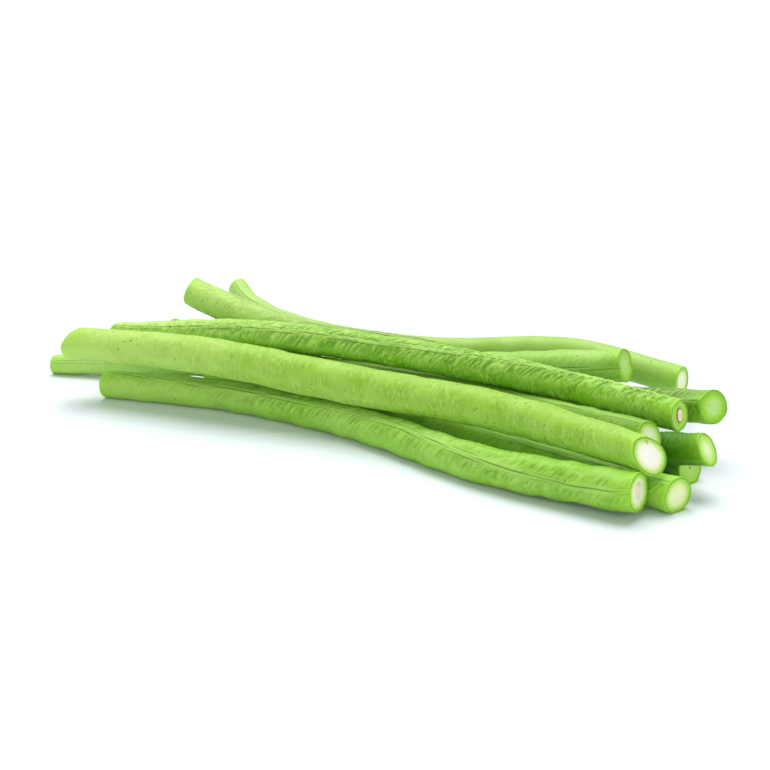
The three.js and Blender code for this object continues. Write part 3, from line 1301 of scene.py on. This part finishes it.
@dataclass(frozen=True)
class Studio:
    """A glossy white table, soft light from above and the camera, in metres and degrees."""

    camera_place: tuple[float, float, float] = (0.2571, -0.4279, 0.170)
    camera_turn: float = 31.0
    camera_tilt: float = 18.0
    lens: float = 70.13  # this and the sensor's width in millimetres
    sensor: float = 36.0
    clips: tuple[float, float] = (0.01, 50.0)
    sky: float = 0.36  # the room's glow above
    horizon: float = 1.15  # the room's glow at table height
    horizon_rise: tuple[float, float] = (0.05, 0.3)  # where the one gives way to the other
    floor_size: float = 12.0
    floor_colour: str = "ebf1f9"
    floor_gloss: float = 0.35
    boxes: tuple[SoftBox, ...] = (
        SoftBox("overhead_box", (-0.2, 0.34, 1.0), 3.0, 50.0),
        SoftBox("front_box", (-0.35, -1.0, 0.55), 0.4, 50.0),
        SoftBox("right_box", (1.0, -0.25, 0.4), 0.55, 40.0, shadow=False),
    )

    def floor(self) -> bpy.types.Object:
        """The table's top, white with a soft gloss."""
        half = self.floor_size / 2
        mesh = bpy.data.meshes.new("table_top")
        corners = [(-half, -half, 0), (half, -half, 0), (half, half, 0), (-half, half, 0)]
        mesh.from_pydata(corners, [], [(0, 1, 2, 3)])
        material, g, shader = new_material("table_top")
        cloud = g.grain(place_in_mm(g), 0.004, 2.0)
        g.put(shader.inputs["Roughness"], g.ramp(cloud, 0.3, 0.7, 0.22, 0.28))
        shader.inputs["Base Color"].default_value = linear(self.floor_colour)
        shader.inputs["Specular IOR Level"].default_value = self.floor_gloss
        mesh.materials.append(material)
        return add_object("table_top", mesh)

    def light(self) -> None:
        """A white room, and the soft boxes: overhead, in front and at the cut ends."""
        world = bpy.data.worlds.new("white_room")
        world.use_nodes = True
        g = Graph(world.node_tree)
        rise = g.field("ShaderNodeSeparateXYZ", {"Vector": g.field("ShaderNodeTexCoord", {})}, "Z")
        background = world.node_tree.nodes["Background"]
        background.inputs["Color"].default_value = (1, 1, 1, 1)
        g.put(background.inputs["Strength"], g.ramp(rise, *self.horizon_rise, self.horizon, self.sky))
        bpy.context.scene.world = world
        for box in self.boxes:
            box.build()

    def camera(self) -> None:
        """The camera."""
        data = bpy.data.cameras.new("camera")
        data.lens, data.sensor_width = self.lens, self.sensor
        data.clip_start, data.clip_end = self.clips
        camera = add_object("camera", data)
        camera.location = self.camera_place
        camera.rotation_euler = (math.radians(90 - self.camera_tilt), 0, math.radians(self.camera_turn))
        bpy.context.scene.camera = camera

    def build(self) -> None:
        """Set up the table, the light and the camera."""
        self.floor()
        self.light()
        self.camera()
        bpy.context.scene.view_settings.view_transform = "Standard"


# ----------------------------------------------------------------- the bunch

PODS = (
    Pod("pod_front_low", (95, 60, 50, 52, 57, 55, 40, 15, 22), 1,
        PodFinish(skin="90ca3a", deep="468204", pale="b6e06c", fade=0.6, flesh="e6f6ac",
                  mark="c8a878", glow=0.75),
        Relief(band=0.24, groove=0.22, ribs=0.2, wrinkles=0.2, swellings=0.2), FaceKind.SEEDED),
    Pod("pod_low_second", (70, 80, 85, 70, 60), 2,
        PodFinish(skin="88ca24", flesh="def498", glow=0.4), Relief(lumps=0.3), FaceKind.PLAIN),
    Pod("pod_low_back", (60, 75, 60), 3,
        PodFinish(skin="6caa24", flesh="a8dc50", mark="4c6a22", glow=0.1), Relief(), FaceKind.DOTTED),
    Pod("pod_low_middle", (-60, -62, -60, -50, -24), 4,
        PodFinish(skin="367202", deep="1e4c02", pale="6aa01e", fade=0.1, flesh="c0e870",
                  glow=0.45, bloom=0.02),
        Relief(band=0.24, wrinkles=0.2), FaceKind.PLAIN),
    Pod("pod_front_high", (122, 118), 5,
        PodFinish(skin="97c83c", deep="649a1c", pale="c0e474", fade=0.6, flesh="f6fdd8", outer="b6e25e",
                  mark="b98b4e", specks=0.55, streak=0.2, glow=0.95),
        Relief(band=0.08, groove=0.08, ribs=0.05, wrinkles=0.25, lumps=0.5, swellings=0.32),
        FaceKind.SPONGY),
    Pod("pod_crossing", (38, 30, 20, 10, 3, 5), 6,
        PodFinish(skin="9acd50", pale="bde27c", flesh="aedc5c", outer="98d034", glow=0.15, fade=0.4),
        Relief(band=0.16, groove=0.24, wrinkles=0.08, pinch=0.9), FaceKind.PLAIN),
    Pod("pod_inner", (75, 80, 75), 7,
        PodFinish(skin="74a42a", rim_highlight="82b424", flesh="e4f4b0", glow=0.5), Relief(), FaceKind.PLAIN),
    Pod("pod_raised", (110, 100, 70, 48, 32), 8,
        PodFinish(skin="5c8e12", deep="326402", pale="b8de70", fade=0.95, flesh="a4de34",
                  outer="8fd028", specks=0.5, glow=0.25),
        Relief(band=0.42, ribs=0.22, wrinkles=0.24, lumps=0.4), FaceKind.BANDED),
    Pod("pod_far_back", (55, 80, 115, 120, 118), 9,
        PodFinish(skin="9ecb54", pale="bedf84", deep="70a82e", flesh="eef6c8", streak=0.08, bloom=0.12),
        Relief(band=0.12, wrinkles=0.05, lumps=0.15), FaceKind.PLAIN),
    Pod("pod_top", (68, 52, 36, 45, 42, 62, 62, 104, 108), 10,
        PodFinish(skin="8cc62e", deep="408002", pale="c0e678", fade=0.85, flesh="acdc34", mark="9a5a3a",
                  specks=0.45, streak=0.2, glow=0.12, roughness=0.36),
        Relief(band=0.42, groove=0.26, ribs=0.34, wrinkles=0.28, teeth=0.3, lumps=0.24),
        FaceKind.SEEDED),
)
SEEDS = (
    CutSeed("seed_front_low", "pod_front_low",
            SeedFinish(cream="f8f0d0", heart="f0cdb0", coat="cdb084")),
    CutSeed("seed_top", "pod_top", SeedFinish(cream="fbf3da", coat="a5623c")),
)


def main() -> None:
    """Build the studio, the pods and the seeds."""
    logging.basicConfig(level=logging.INFO, format="%(name)s: %(message)s")
    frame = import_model()
    Studio().build()
    tree, effects = SkinTree(), Effects()
    seed_rise = {seed.pod: seed.measure(frame["nodes"])[1][1] for seed in SEEDS}
    for pod in PODS:
        pod.build(frame["nodes"], tree, effects, seed_rise.get(pod.node, 0.0))
    for seed in SEEDS:
        seed.build(frame["nodes"], effects)


if __name__ == "__main__":
    main()
